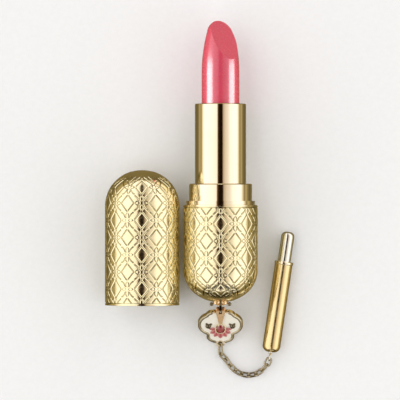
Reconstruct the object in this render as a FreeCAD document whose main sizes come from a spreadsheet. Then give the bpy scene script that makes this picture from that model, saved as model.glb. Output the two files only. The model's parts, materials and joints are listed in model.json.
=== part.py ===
# FreeCAD macro: a domed twist-up lipstick case lying on its side, opened, with its cap beside it
# and a cloud charm, a fine chain and a slim lip brush fastened to its closed end.
#
# Frame: the origin is on the lipstick's axis in the plane where the cap seats. +Y runs along the
# axis towards the bullet, +X to the right and +Z up, away from the surface that the case lies on.
# All sizes are in millimetres and all angles in degrees.

import FreeCAD, Part
import math
import os
import re
import Sketcher
from FreeCAD import Placement, Rotation, Vector

# ---------------------------------------------------------------------------------------------
# Driving dimensions: name, value, meaning
# ---------------------------------------------------------------------------------------------
DIMENSIONS = [
    ("barrel_radius", 11.65, "outside radius of the base barrel and of the cap"),
    ("shell_wall", 0.45, "wall of the drawn brass shells"),
    ("barrel_end", 21.6, "from the cap seat down to where the base dome starts"),
    ("dome_depth", 10.2, "height of the base dome"),
    ("dome_end_radius", 13.0, "radius of the flatter arc at the pole of the base dome"),
    ("seat_step", 1.6, "thickness of the seat ring between barrel and collar"),
    ("seat_radius", 10.75, "outside radius of the seat ring"),
    ("collar_radius", 9.85, "outside radius of the collar that the cap grips"),
    ("neck_radius", 9.65, "radius of the collar's neck inside the base"),
    ("collar_height", 5.4, "height of the collar above the cap seat"),
    ("collar_wall", 0.5, "wall of the collar"),
    ("collar_depth", 8.2, "depth of the collar below the cap seat"),
    ("tube_radius", 8.0, "outside radius of the turning inner tube"),
    ("tube_wall", 0.4, "wall of the turning inner tube"),
    ("tube_top", 30.4, "mouth of the inner tube above the cap seat"),
    ("tube_lip", 6.6, "radius of the mouth inside the inner tube's lip"),
    ("run_gap", 0.05, "radial running clearance between turning pieces"),
    ("spiral_wall", 0.75, "wall of the spiral tube"),
    ("spiral_depth", 9.2, "bottom of the spiral tube below the cap seat"),
    ("spiral_flange", 8.9, "radius of the flange that keeps the spiral tube in"),
    ("groove_depth", 0.4, "depth of the spiral grooves"),
    ("groove_width", 1.94, "axial width of a spiral groove"),
    ("groove_spare", 10.0, "turn by which a groove runs on past the lug at each end"),
    ("guide_wall", 0.4, "wall of the slotted guide tube"),
    ("slot_width", 1.8, "width of the guide tube's slots"),
    ("lug_radius", 0.8, "radius of the carrier's lugs"),
    ("bullet_radius", 5.9, "radius of the lipstick bullet"),
    ("bullet_tip", 56.6, "tip of the raised bullet above the cap seat"),
    ("bullet_taper", 40.0, "where the bullet begins to narrow"),
    ("cup_wall", 0.45, "wall of the carrier cup"),
    ("cup_top", 29.4, "rim of the raised carrier cup"),
    ("cup_height", 8.0, "height of the carrier cup"),
    ("lug_height", 2.0, "height of the lugs above the bottom of the carrier cup"),
    ("lift", 26.6, "travel of the bullet"),
    ("lift_turns", 1.5, "turns of the inner tube for the whole travel"),
    ("core_floor", 10.4, "top of the base core's floor below the cap seat"),
    ("core_floor_wall", 1.2, "thickness of the base core's floor"),
    ("weight_radius", 9.0, "radius of the steel weight"),
    ("weight_end", 26.4, "bottom of the steel weight below the cap seat"),
    ("stem_radius", 0.9, "radius of the finial's screwed stem"),
    ("cap_length", 42.3, "length of the cap"),
    ("cap_dome_depth", 11.3, "height of the cap's dome"),
    ("cap_dome_radius", 12.5, "radius of the flatter arc at the cap's pole"),
    ("cap_liner_wall", 1.25, "wall of the cap's liner at its mouth"),
    ("cap_liner_bore", 9.2, "radius inside the cap's liner above the collar"),
    ("cap_offset", 24.5, "distance between the axes of the cap and the case"),
    ("cap_mouth", 32.6, "the resting cap's mouth below the cap seat"),
    ("calyx_radius", 2.35, "radius of the calyx under the finial"),
    ("pin_drop", 2.1, "bail pin below the pole of the base dome"),
    ("pin_radius", 0.35, "radius of the bail pin"),
    ("slope", 43.6, "tilt of the resting charm down to the surface"),
    ("charm_width", 15.0, "width of the cloud charm"),
    ("charm_height", 16.2, "height of the cloud charm"),
    ("charm_thickness", 1.2, "thickness of the charm's tray"),
    ("charm_rim", 0.55, "width of the raised rim around the enamel"),
    ("enamel_depth", 0.5, "depth of the charm's enamel"),
    ("charm_centre", 8.1, "middle of the charm below the bail pin"),
    ("eye_drop", 14.7, "chain hole of the charm below the bail pin"),
    ("eye_radius", 0.9, "radius of the charm's chain hole"),
    ("eye_land", 1.4, "radius of the land around the chain hole"),
    ("land_relief", 0.5, "depth by which the tray is thinned behind that land"),
    ("gem_radius", 1.4, "half width of the oval red stone"),
    ("gem_reach", 1.8, "half height of the oval red stone"),
    ("gem_drop", 7.8, "stone below the bail pin"),
    ("rivet_drop", 4.9, "bail rivet below the bail pin"),
    ("wire", 0.55, "thickness of the chain's wire"),
    ("link_width", 2.2, "outside width of a chain link"),
    ("link_pitch", 2.3, "distance between the joints of a chain link"),
    ("link_play", 0.12, "free play between two links"),
    ("long_wire", 0.6, "thickness of the long link's wire"),
    ("long_width", 2.5, "outside width of the long link"),
    ("long_length", 5.0, "outside length of the long link"),
    ("brush_radius", 2.8, "radius of the lip brush's barrel"),
    ("brush_length", 28.0, "length of the lip brush's barrel"),
    ("brush_band_radius", 2.95, "radius of the band on the lip brush"),
    ("brush_cap_radius", 2.05, "radius of the lip brush's cap"),
    ("brush_cap_nose", 1.5, "radius of the rounding at that cap's closed end"),
    ("brush_cap_length", 9.4, "length of the lip brush's cap"),
    ("eye_middle", 1.45, "middle of the lip brush's eye beyond the end of its barrel"),
    ("eye_ring", 1.15, "radius of that eye at the middle of its wire"),
    ("eye_wire", 0.28, "radius of that eye's wire"),
    ("eye_reach", 2.05, "where the last link hangs in that eye"),
    ("eye_sag", 0.45, "how far below the brush's axis the last link hangs in it"),
    ("brush_heading", 81.5, "direction of the lip brush from +X"),
]

# The chain lies in a loose curve: the heading of each link in turn, from +X
LINK_HEADINGS = [-44, -56, -46, -28, -10, 10, 32, 50, 66]
LINK_ROLL = 45.0
# Shares of the climb to the lip brush's eye, counted back from the last link
LINK_CLIMBS = {3: 0.15, 2: 0.3, 1: 0.55}
# Rolls of the last links, counted back in the same way
END_ROLLS = {2: 62.0, 1: -15.0}

doc = FreeCAD.newDocument("LipstickCase")
sheet = doc.addObject("Spreadsheet::Sheet", "Sizes")
for row, (alias, number, meaning) in enumerate(DIMENSIONS, start=1):
    sheet.set(f"A{row}", meaning)
    sheet.set(f"B{row}", str(number))
    sheet.setAlias(f"B{row}", alias)
doc.recompute()

ALIASES = {alias for alias, _, _ in DIMENSIONS}
pieces = []


def bound(text):
    """The expression with each dimension's name pointing at the sheet."""
    return re.sub(r"[a-z_]+", lambda word: f"Sizes.{word[0]}" if word[0] in ALIASES else word[0], str(text))


def size(text):
    """The number that an expression in the dimensions' names comes to."""
    found = sheet.evalExpression(bound(text))
    return float(getattr(found, "Value", found))


# ---------------------------------------------------------------------------------------------
# Helpers for bodies, sketches and features
# ---------------------------------------------------------------------------------------------
def new_body(label):
    body = doc.addObject("PartDesign::Body", label)
    body.Label = label
    return body


def new_sketch(body, name, plane="XY_Plane", offset=None):
    sketch = body.newObject("Sketcher::SketchObject", name)
    role = [f for f in body.Origin.OriginFeatures if f.Role == plane]
    sketch.AttachmentSupport = (role[0], [""])
    sketch.MapMode = "FlatFace"
    if offset is not None:
        sketch.setExpression("AttachmentOffset.Base.z", bound(offset))
    return sketch


def fix_point(sketch, geometry, end, x, y):
    """Hold one end of a sketch edge at two expressions."""
    for kind, axis, text in (("DistanceX", -2, x), ("DistanceY", -1, y)):
        number = size(text)
        if abs(number) < 1e-9:
            sketch.addConstraint(Sketcher.Constraint("PointOnObject", geometry, end, axis))
        else:
            index = sketch.addConstraint(Sketcher.Constraint(kind, geometry, end, number))
            sketch.setExpression(f"Constraints[{index}]", bound(text))


def draw(sketch, corners):
    """A closed outline. A corner is (x, y) or (x, y, radius): the radius bends the edge that
    leaves the corner, to the left of travel when positive and to the right when negative."""
    places = [Vector(size(corner[0]), size(corner[1]), 0) for corner in corners]
    for i, corner in enumerate(corners):
        start, end = places[i], places[(i + 1) % len(places)]
        if len(corner) == 2:
            index = sketch.addGeometry(Part.LineSegment(start, end))
            fix_point(sketch, index, 1, corner[0], corner[1])
            continue
        radius = size(corner[2])
        chord = end - start
        side = Vector(-chord.y, chord.x, 0).normalize()
        rise = math.sqrt(max(radius * radius - chord.Length**2 / 4, 0))
        centre = (start + end) * 0.5 + side * math.copysign(rise, radius)
        circle = Part.Circle(centre, Vector(0, 0, 1), abs(radius))
        first, last = (start, end) if radius > 0 else (end, start)
        arc = Part.ArcOfCircle(circle, circle.parameter(first), circle.parameter(last))
        index = sketch.addGeometry(arc)
        fix_point(sketch, index, 1 if radius > 0 else 2, corner[0], corner[1])
    for i, corner in enumerate(corners):
        following = (i + 1) % len(corners)
        here = 1 if len(corner) == 3 and size(corner[2]) < 0 else 2
        bends_back = len(corners[following]) == 3 and size(corners[following][2]) < 0
        there = 2 if bends_back else 1
        sketch.addConstraint(Sketcher.Constraint("Coincident", i, here, following, there))
    for i, corner in enumerate(corners):
        if len(corner) == 3:
            index = sketch.addConstraint(Sketcher.Constraint("Radius", i, abs(size(corner[2]))))
            sketch.setExpression(f"Constraints[{index}]", bound(f"abs({corner[2]})"))


def draw_circle(sketch, x, y, radius):
    index = sketch.addGeometry(Part.Circle(Vector(size(x), size(y), 0), Vector(0, 0, 1), size(radius)))
    fix_point(sketch, index, 3, x, y)
    held = sketch.addConstraint(Sketcher.Constraint("Radius", index, size(radius)))
    sketch.setExpression(f"Constraints[{held}]", bound(radius))


def revolve(body, name, corners):
    """Turn an outline in the XY plane a full turn about the body's Y axis."""
    sketch = new_sketch(body, name + "Outline")
    draw(sketch, corners)
    feature = body.newObject("PartDesign::Revolution", name)
    feature.Profile = sketch
    feature.ReferenceAxis = (sketch, ["V_Axis"])
    feature.Angle = 360
    return feature


def pad(body, name, length, corners=(), circles=(), plane="XY_Plane", offset=None, midplane=False):
    sketch = new_sketch(body, name + "Outline", plane, offset)
    if corners:
        draw(sketch, corners)
    for circle in circles:
        draw_circle(sketch, *circle)
    feature = body.newObject("PartDesign::Pad", name)
    feature.Profile = sketch
    feature.setExpression("Length", bound(length))
    if midplane:
        feature.SideType = "Symmetric"
    return feature


def pocket(body, name, length, corners=(), circles=(), plane="XY_Plane", offset=None, turned=False,
           midplane=False):
    """Cut a pocket and check that it takes material away."""
    doc.recompute()
    before = body.Shape.Volume
    sketch = new_sketch(body, name + "Outline", plane, offset)
    if corners:
        draw(sketch, corners)
    for circle in circles:
        draw_circle(sketch, *circle)
    feature = body.newObject("PartDesign::Pocket", name)
    feature.Profile = sketch
    feature.setExpression("Length", bound(length))
    feature.Reversed = turned
    if midplane:
        feature.SideType = "Symmetric"
    doc.recompute()
    if body.Shape.Volume > before - 1e-6:
        raise RuntimeError(f"{body.Label}: {name} cuts nothing")
    return feature


def repeat_around(body, name, feature, plane_axis, count):
    """Repeat a feature about one of the body's own axes."""
    pattern = body.newObject("PartDesign::PolarPattern", name)
    pattern.Originals = [feature]
    axis = [f for f in body.Origin.OriginFeatures if f.Role == plane_axis][0]
    pattern.Axis = (axis, [""])
    pattern.Angle = 360
    pattern.Occurrences = count
    body.Tip = pattern
    return pattern


def keep(piece, placement=None):
    """Note a finished sub-part, put it in its place and return it."""
    if placement is not None:
        piece.Placement = placement
    pieces.append(piece)
    return piece


# ---------------------------------------------------------------------------------------------
# Domes: a shoulder arc that leaves the barrel and a flatter arc over the pole
# ---------------------------------------------------------------------------------------------
def dome_walk(radius, depth, end_radius, start, inset, hole, up=False):
    """Corners from the barrel to a hole at the pole, on the surface that lies inset within."""
    shoulder = (f"(({end_radius})^2 - ({radius})^2 - (({end_radius}) - ({depth}))^2)"
                f" / (2 * (({end_radius}) - ({radius})))")
    share = f"(({radius}) - {shoulder}) / (({end_radius}) - {shoulder})"
    fall = f"(({end_radius}) - ({depth})) / (({end_radius}) - {shoulder})"
    inner_end = f"(({end_radius}) - ({inset}))"
    sign = "" if up else "-1 * "
    middle = f"{start} + {sign}(({depth}) - ({end_radius}))"
    joint_y = f"{middle} + {sign}{inner_end} * {fall}"
    pole_y = f"{middle} + {sign}sqrt({inner_end}^2 - ({hole})^2)"
    bend = "" if up else "-1 * "
    return [
        (f"({radius}) - ({inset})", start, f"{bend}({shoulder} - ({inset}))"),
        (f"{inner_end} * {share}", joint_y, f"{bend}{inner_end}"),
        (f"{hole}", pole_y),
    ]


def walk_back(corners):
    """The same corners walked the other way, with each bend turned round."""
    turned = []
    bends = [corner[2] if len(corner) == 3 else None for corner in corners]
    for i in range(len(corners) - 1, -1, -1):
        bend = bends[i - 1] if i > 0 else None
        turned.append((corners[i][0], corners[i][1]) + ((f"-1 * ({bend})",) if bend else ()))
    return turned


def base_dome(inset, hole):
    return dome_walk("barrel_radius", "dome_depth", "dome_end_radius", "(-barrel_end)", inset, hole)


def cap_dome(inset, hole):
    start = "(cap_length - cap_dome_depth)"
    return dome_walk("barrel_radius", "cap_dome_depth", "cap_dome_radius", start, inset, hole, up=True)


# ---------------------------------------------------------------------------------------------
# Base: shell, core, weight, seat ring, collar, bearing, brake ring and slotted guide tube
# ---------------------------------------------------------------------------------------------
def build_base():
    body = new_body("base_shell")
    outside = base_dome("0", "stem_radius")
    inside = walk_back(base_dome("shell_wall", "stem_radius"))
    revolve(body, "Shell", [("barrel_radius", "-seat_step"), *outside, *inside,
                            ("barrel_radius - shell_wall", "-seat_step")])
    keep(body)

    body = new_body("base_core")
    core_radius = "barrel_radius - shell_wall"
    floor_end = "-core_floor - core_floor_wall"
    revolve(body, "Core", [
        (core_radius, "-seat_step"), (core_radius, "-barrel_end"),
        ("weight_radius + 0.6", "-barrel_end"), ("weight_radius + 0.6", floor_end),
        ("2.0", floor_end), ("2.0", "-core_floor"),
        ("neck_radius", "-core_floor"), ("neck_radius", "-seat_step")])
    keep(body)

    body = new_body("base_weight")
    weight_top = "-core_floor - core_floor_wall"
    revolve(body, "Slug", [
        ("0", weight_top), ("weight_radius", weight_top), ("weight_radius", "-weight_end + 1.5"),
        ("weight_radius - 1.5", "-weight_end"), ("stem_radius", "-weight_end"),
        ("stem_radius", "-weight_end + 4"), ("0", "-weight_end + 4")])
    keep(body)

    body = new_body("seat_ring")
    revolve(body, "Ring", [
        ("neck_radius", "-seat_step"), ("barrel_radius - 0.1", "-seat_step"),
        ("barrel_radius - 0.1", "-seat_step + 0.25"), ("seat_radius", "-seat_step + 0.45"),
        ("seat_radius", "0"), ("neck_radius", "0")])
    keep(body)

    body = new_body("collar")
    lip = "tube_radius + 0.15"
    inner = "collar_radius - collar_wall"
    revolve(body, "Sleeve", [
        ("neck_radius", "-collar_depth"), ("neck_radius", "0"), ("collar_radius", "0"),
        ("collar_radius", "collar_height - 0.3"),
        ("collar_radius - 0.3", "collar_height"), (lip, "collar_height"),
        (lip, "collar_height - 0.4"), (inner, "collar_height - 0.4"), (inner, "-collar_depth")])
    keep(body)

    body = new_body("bearing_sleeve")
    bore = "tube_radius + run_gap"
    revolve(body, "Bearing", [
        (inner, "-collar_depth"), (inner, "collar_height - 0.4"), (bore, "collar_height - 0.4"),
        (bore, "3.2"), ("tube_radius + 0.75", "3.2"), ("tube_radius + 0.75", "2.2"),
        (bore, "2.2"), (bore, "-collar_depth")])
    keep(body)

    body = new_body("brake_ring")
    band = "tube_radius + 0.03"
    revolve(body, "Brake", [
        (band, "2.35"), ("tube_radius + 0.7", "2.35"), ("tube_radius + 0.7", "3.05"), (band, "3.05")])
    keep(body)

    body = new_body("guide_tube")
    outer = "tube_radius - tube_wall - spiral_wall - run_gap"
    inner = f"{outer} - guide_wall"
    revolve(body, "Tube", [
        (inner, "-core_floor"), ("neck_radius", "-core_floor"), ("neck_radius", "-core_floor + 0.8"),
        (outer, "-core_floor + 0.8"), (outer, "tube_top - 0.6"), (inner, "tube_top - 0.6")])
    lug_high = "cup_top - cup_height + lug_height"
    low = f"{lug_high} - lift - lug_radius - 0.2"
    high = f"{lug_high} + lug_radius + 0.2"
    pocket(body, "Slots", "4 * tube_radius", plane="YZ_Plane", midplane=True, corners=[
        (low, "-slot_width / 2"), (high, "-slot_width / 2"),
        (high, "slot_width / 2"), (low, "slot_width / 2")])
    keep(body)


# ---------------------------------------------------------------------------------------------
# Turning sleeve: the plain inner tube and, inside it, the spiral tube
# ---------------------------------------------------------------------------------------------
def build_sleeve():
    body = new_body("inner_tube")
    inner = "tube_radius - tube_wall"
    revolve(body, "Tube", [
        ("tube_radius", "-collar_depth + 0.2"), ("tube_radius", "tube_top - 0.2"),
        ("tube_radius - 0.2", "tube_top"), ("tube_lip", "tube_top"), ("tube_lip", "tube_top - 0.4"),
        (inner, "tube_top - 0.4"), (inner, "-collar_depth + 0.2")])
    keep(body)

    body = new_body("spiral_tube")
    bore = "tube_radius - tube_wall - spiral_wall"
    flange_top = "-spiral_depth + 0.8"
    revolve(body, "Tube", [
        (bore, "-spiral_depth"), ("spiral_flange", "-spiral_depth"), ("spiral_flange", flange_top),
        (inner, flange_top), (inner, "tube_top - 0.4"), (bore, "tube_top - 0.4")])
    doc.recompute()
    before = body.Shape.Volume
    sketch = new_sketch(body, "GrooveOutline")
    sketch.AttachmentOffset = Placement(Vector(), Rotation(Vector(0, 1, 0), -size("groove_spare")))
    spare_rise = "lift / lift_turns * groove_spare / 360"
    middle = f"cup_top - cup_height + lug_height - lift - {spare_rise}"
    root = f"{bore} + groove_depth"
    draw(sketch, [
        (f"{bore} - 0.3", f"{middle} - groove_width / 2"), (root, f"{middle} - groove_width / 2"),
        (root, f"{middle} + groove_width / 2"), (f"{bore} - 0.3", f"{middle} + groove_width / 2")])
    groove = body.newObject("PartDesign::SubtractiveHelix", "Groove")
    groove.Profile = sketch
    groove.ReferenceAxis = (sketch, ["V_Axis"])
    groove.Mode = "pitch-height-angle"
    groove.setExpression("Pitch", bound("lift / lift_turns"))
    groove.setExpression("Height", bound(f"lift + 2 * {spare_rise}"))
    groove.Angle = 0
    groove.LeftHanded = False
    groove.Reversed = False
    doc.recompute()
    repeat_around(body, "Grooves", groove, "Y_Axis", 2)
    doc.recompute()
    if body.Shape.Volume > before - 1:
        raise RuntimeError("the spiral grooves cut nothing")
    keep(body)


# ---------------------------------------------------------------------------------------------
# Carrier: cup with two lugs, and the bullet with its slanted face
# ---------------------------------------------------------------------------------------------
SLANT_TURN = 37.0
SLANT_FALL = 1.75
SLANT_BACK = 1.2


def build_carrier():
    body = new_body("carrier_cup")
    outer = "bullet_radius + cup_wall"
    bottom = "cup_top - cup_height"
    revolve(body, "Cup", [
        ("0", bottom), (outer, bottom), (outer, "cup_top"), ("bullet_radius", "cup_top"),
        ("bullet_radius", f"{bottom} + 1"), ("0", f"{bottom} + 1")])
    keep(body)

    body = new_body("carrier_lugs")
    lug_y = f"{bottom} + lug_height"
    sketch_radius = "lug_radius"
    first = pad(body, "Lug", "0.8", circles=[(lug_y, "0", sketch_radius)], plane="YZ_Plane", offset=outer)
    repeat_around(body, "Lugs", first, "Y_Axis", 2)
    keep(body)

    body = new_body("bullet_blank")
    revolve(body, "Stick", [
        ("0", f"{bottom} + 1"), ("bullet_radius", f"{bottom} + 1"),
        ("bullet_radius", "bullet_taper", "50"), ("bullet_radius - 1.75", "bullet_tip - 3.4", "4.0"),
        ("0", "bullet_tip")])
    doc.recompute()
    tool = doc.addObject("Part::Box", "SlantTool")
    for side in ("Length", "Width", "Height"):
        tool.setExpression(side, bound("bullet_radius * 6"))
    reach = size("bullet_radius * 3")
    turn = math.radians(SLANT_TURN)
    top = Vector(-SLANT_BACK * math.sin(turn), size("bullet_tip - 0.3"), -SLANT_BACK * math.cos(turn))
    down_slope = Vector(math.sin(turn), -SLANT_FALL, math.cos(turn)).normalize()
    across = Vector(math.cos(turn), 0, -math.sin(turn))
    outward = down_slope.cross(across) * -1
    if outward.y < 0:
        outward = outward * -1
        across = across * -1
    facing = Rotation(across, outward.cross(across), outward, "XZY")
    corner = top - facing.multVec(Vector(reach, reach, 0))
    tool.Placement = Placement(corner, facing)
    bullet = doc.addObject("Part::Cut", "bullet")
    bullet.Label = "bullet"
    bullet.Base = body
    bullet.Tool = tool
    keep(bullet)


# ---------------------------------------------------------------------------------------------
# Cap: brass shell, moulded liner and the soft ring that grips the collar
# ---------------------------------------------------------------------------------------------
def build_cap():
    place = Placement(Vector(-size("cap_offset"), -size("cap_mouth"), 0), Rotation())
    body = new_body("cap_shell")
    outside = cap_dome("0", "0")
    inside = walk_back(cap_dome("shell_wall", "0"))
    revolve(body, "Shell", [("barrel_radius", "0"), *outside, *inside,
                            ("barrel_radius - shell_wall", "0")])
    keep(body, place)

    body = new_body("cap_liner")
    outside = cap_dome("shell_wall", "0")
    inside = walk_back(cap_dome("barrel_radius - cap_liner_bore", "0"))
    bore = "barrel_radius - shell_wall - cap_liner_wall"
    revolve(body, "Liner", [
        ("barrel_radius - shell_wall", "0.3"), *outside, *inside,
        ("cap_liner_bore", "collar_height + 1.2"), (bore, "collar_height + 0.5"),
        (bore, "3.9"), (f"{bore} + 0.6", "3.9"), (f"{bore} + 0.6", "2.9"), (bore, "2.9"),
        (bore, "0.9"), (f"{bore} + 0.5", "0.3")])
    keep(body, place)

    body = new_body("cap_grip_ring")
    revolve(body, "Grip", [
        (f"{bore} - 0.02", "3.0"), (f"{bore} + 0.5", "3.0"),
        (f"{bore} + 0.5", "3.8"), (f"{bore} - 0.02", "3.8")])
    keep(body, place)


# ---------------------------------------------------------------------------------------------
# Finial on the base dome's pole: calyx, beads, stem with its eye, and the cross pin
# ---------------------------------------------------------------------------------------------
def build_finial():
    pole = "(-barrel_end - dome_depth)"
    body = new_body("calyx")
    rim_edge = "dome_end_radius - sqrt(dome_end_radius^2 - calyx_radius^2)"
    stem_edge = "dome_end_radius - sqrt(dome_end_radius^2 - stem_radius^2)"
    revolve(body, "Dish", [
        ("stem_radius", f"{pole} + {stem_edge}", "dome_end_radius"),
        ("calyx_radius", f"{pole} + {rim_edge}"), ("calyx_radius", f"{pole} - 0.25"),
        ("1.4", f"{pole} - 0.75"), ("stem_radius", f"{pole} - 0.8")])
    doc.recompute()
    notch = pocket(body, "Scallop", "3", plane="XZ_Plane", offset=f"-1 * {pole} + 1.5",
                   circles=[("2.2", "-2.2", "1.3")])
    repeat_around(body, "Scallops", notch, "Y_Axis", 4)
    keep(body)

    body = new_body("calyx_beads")
    revolve_bead(body, pole)
    keep(body)

    body = new_body("finial_stem")
    stem_top = "-weight_end + 3.8"
    revolve(body, "Stem", [
        ("0", stem_top), ("stem_radius", stem_top), ("stem_radius", f"{pole} - 1.0"),
        ("0", f"{pole} - 1.0")])
    pad(body, "Tongue", "0.8", plane="YZ_Plane", midplane=True, corners=[
        (f"{pole} - 0.9", "-0.75"), (f"{pole} - pin_drop", "-0.75", "-0.75"),
        (f"{pole} - pin_drop - 0.75", "0", "-0.75"), (f"{pole} - pin_drop", "0.75"),
        (f"{pole} - 0.9", "0.75")])
    pocket(body, "PinBore", "4", plane="YZ_Plane", midplane=True,
           circles=[(f"{pole} - pin_drop", "0", "pin_radius")])
    keep(body)

    body = new_body("bail_pin")
    pad(body, "Pin", "2.7", plane="YZ_Plane", midplane=True,
        circles=[(f"{pole} - pin_drop", "0", "pin_radius")])
    keep(body)


def revolve_bead(body, pole):
    """Four round beads under the ends of the calyx's petals."""
    sketch = new_sketch(body, "BeadOutline")
    middle = f"{pole} - 0.5"
    reach = "calyx_radius + 0.45"
    draw(sketch, [(reach, f"{middle} - 0.6", "0.6001"), (reach, f"{middle} + 0.6")])
    bead = body.newObject("PartDesign::Revolution", "Bead")
    bead.Profile = sketch
    bead.ReferenceAxis = (sketch, ["Edge2"])
    bead.Angle = 360
    doc.recompute()
    repeat_around(body, "Beads", bead, "Y_Axis", 4)


# ---------------------------------------------------------------------------------------------
# Pendant: bail and charm, drawn flat with the bail pin at the origin and tilted into place
# ---------------------------------------------------------------------------------------------
def pendant_place():
    pin = Vector(0, -size("barrel_end + dome_depth + pin_drop"), 0)
    return Placement(pin, Rotation(Vector(1, 0, 0), size("slope")))


# Half of the cloud outline as shares of the charm's width and height, with each edge's bend
CLOUD = [
    ("0", "0.360", -0.165),
    ("0.305", "0.365", -0.315),
    ("0.285", "-0.160", -0.19),
    ("0.155", "-0.375", 0.30),
    ("0", "-0.500", None),
]


def cloud(inset, middle):
    """The closed cloud outline, right half down and left half up, shrunk by an inset."""
    wide, tall = f"(charm_width - 2 * ({inset}))", f"(charm_height - 2 * ({inset}))"
    right = []
    for x, y, bend in CLOUD:
        corner = (f"{wide} * {x}", f"{middle} + {tall} * {y}")
        right.append(corner + ((f"{wide} * {bend}",) if bend else ()))
    left = []
    for i in range(len(CLOUD) - 1, 0, -1):
        x, y, _ = CLOUD[i]
        bend = CLOUD[i - 1][2]
        left.append((f"-1 * {wide} * {x}", f"{middle} + {tall} * {y}", f"{wide} * {bend}"))
    return right[:-1] + left


def build_pendant():
    place = pendant_place()
    middle = "(-charm_centre)"
    rivet_y = "-rivet_drop"
    front = "charm_thickness / 2 + 0.06"
    body = new_body("bail")
    pad(body, "Cheeks", "1.3", midplane=True, corners=[
        ("1.3", "0.45"), ("1.3", "-0.45"), ("-1.3", "-0.45"), ("-1.3", "0.45")])
    pad(body, "Bridge", "0.5", offset="0.5", corners=[
        ("1.35", "0.45"), ("1.35", "-0.45"), ("-1.35", "-0.45"), ("-1.35", "0.45")])
    pad(body, "Strap", "0.5", offset=front, corners=[
        ("1.4", "0.35"), ("1.4", "-0.6"), ("0.5", f"{rivet_y} - 0.45"), ("0.3", f"{rivet_y} - 0.75"),
        ("-0.3", f"{rivet_y} - 0.75"), ("-0.5", f"{rivet_y} - 0.45"), ("-1.4", "-0.6"), ("-1.4", "0.35")])
    pocket(body, "Fork", "4", midplane=True, corners=[
        ("0.48", "2"), ("0.48", "-1.0"), ("-0.48", "-1.0"), ("-0.48", "2")])
    pocket(body, "PinBore", "8", plane="YZ_Plane", midplane=True,
           circles=[("0", "0", "pin_radius + 0.04")])
    keep(body, place)

    body = new_body("bail_rivet")
    pad(body, "Shank", "charm_thickness + 0.12", offset="-charm_thickness / 2 - 0.06",
        circles=[("0", rivet_y, "0.35")])
    pad(body, "Clench", "0.25", offset="-charm_thickness / 2 - 0.31", circles=[("0", rivet_y, "0.7")])
    keep(body, place)

    body = new_body("charm_tray")
    half = "charm_thickness / 2"
    pad(body, "Tray", "charm_thickness", corners=cloud("0", middle), offset=f"-1 * {half}")
    pocket(body, "Recess", "enamel_depth", corners=cloud("charm_rim", middle), offset=half)
    pocket(body, "RivetBore", "8", midplane=True, circles=[("0", rivet_y, "0.42")])
    pad(body, "Land", "enamel_depth", offset=f"{half} - enamel_depth",
        circles=[("0", "-eye_drop", "eye_land")])
    pocket(body, "LandBack", "land_relief", offset=f"-1 * {half}", turned=True,
           circles=[("0", "-eye_drop", "eye_land + 0.3")])
    pocket(body, "ChainBore", "8", midplane=True, circles=[("0", "-eye_drop", "eye_radius")])
    keep(body, place)

    body = new_body("charm_enamel")
    pad(body, "Fill", "enamel_depth", corners=cloud("charm_rim", middle), offset=f"{half} - enamel_depth")
    pocket(body, "RivetGap", "8", midplane=True, circles=[("0", rivet_y, "0.7")])
    pocket(body, "LandGap", "8", midplane=True, circles=[("0", "-eye_drop", "eye_land")])
    keep(body, place)

    build_charm_trim(place, half)


def build_charm_trim(place, half):
    """The stone in its setting, two side beads and the raised lotus scroll on the enamel."""
    gem_y = "-gem_drop"
    body = new_body("gem_setting")
    pad(body, "Setting", "0.5", offset=half, corners=oval(gem_y, "0.35"))
    pocket(body, "Seat", "0.35", offset=f"{half} + 0.5", corners=oval(gem_y, "0.02"))
    keep(body, place)

    gem = doc.addObject("Part::Ellipsoid", "gem")
    gem.Label = "gem"
    gem.Radius1 = 0.95
    gem.setExpression("Radius2", bound("gem_radius"))
    gem.setExpression("Radius3", bound("gem_reach"))
    gem.Angle1 = 0
    gem.Angle2 = 90
    lift = Placement(Vector(0, size(gem_y), size(f"{half} + 0.15")), Rotation())
    keep(gem, place.multiply(lift))

    body = new_body("side_beads")
    pad(body, "Studs", "0.5", offset=half, circles=[("-3.75", "-6.8", "0.8"), ("3.75", "-6.8", "0.8")])
    keep(body, place)

    body = new_body("lotus_scroll")
    outer = [("0.85", "-10.85"), ("1.9", "-11.0"), ("2.1", "-10.05"), ("2.9", "-9.5"), ("2.35", "-8.7")]
    inner = [("3.4", "-7.65"), ("3.1", "-7.35"), ("2.05", "-7.9"), ("1.95", "-8.5"), ("1.3", "-9.65")]
    left = [(f"-{x}", y) for x, y in reversed(outer)]
    petals = [corner + ("1.6",) for corner in [*left, ("0", "-11.8"), *outer[:-1]]]
    pad(body, "Lotus", "0.3", offset=half, corners=[
        *petals, outer[-1], *inner, ("0", "-10.15"), *[(f"-{x}", y) for x, y in reversed(inner)]])
    keep(body, place)


def oval(middle, margin):
    """An upright oval around the stone, with round ends."""
    wide = f"(gem_radius + {margin})"
    straight = "(gem_reach - gem_radius)"
    return [(wide, f"{middle} - {straight}"), (wide, f"{middle} + {straight}", f"{wide} + 0.0001"),
            (f"-1 * {wide}", f"{middle} + {straight}"),
            (f"-1 * {wide}", f"{middle} - {straight}", f"{wide} + 0.0001")]


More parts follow.
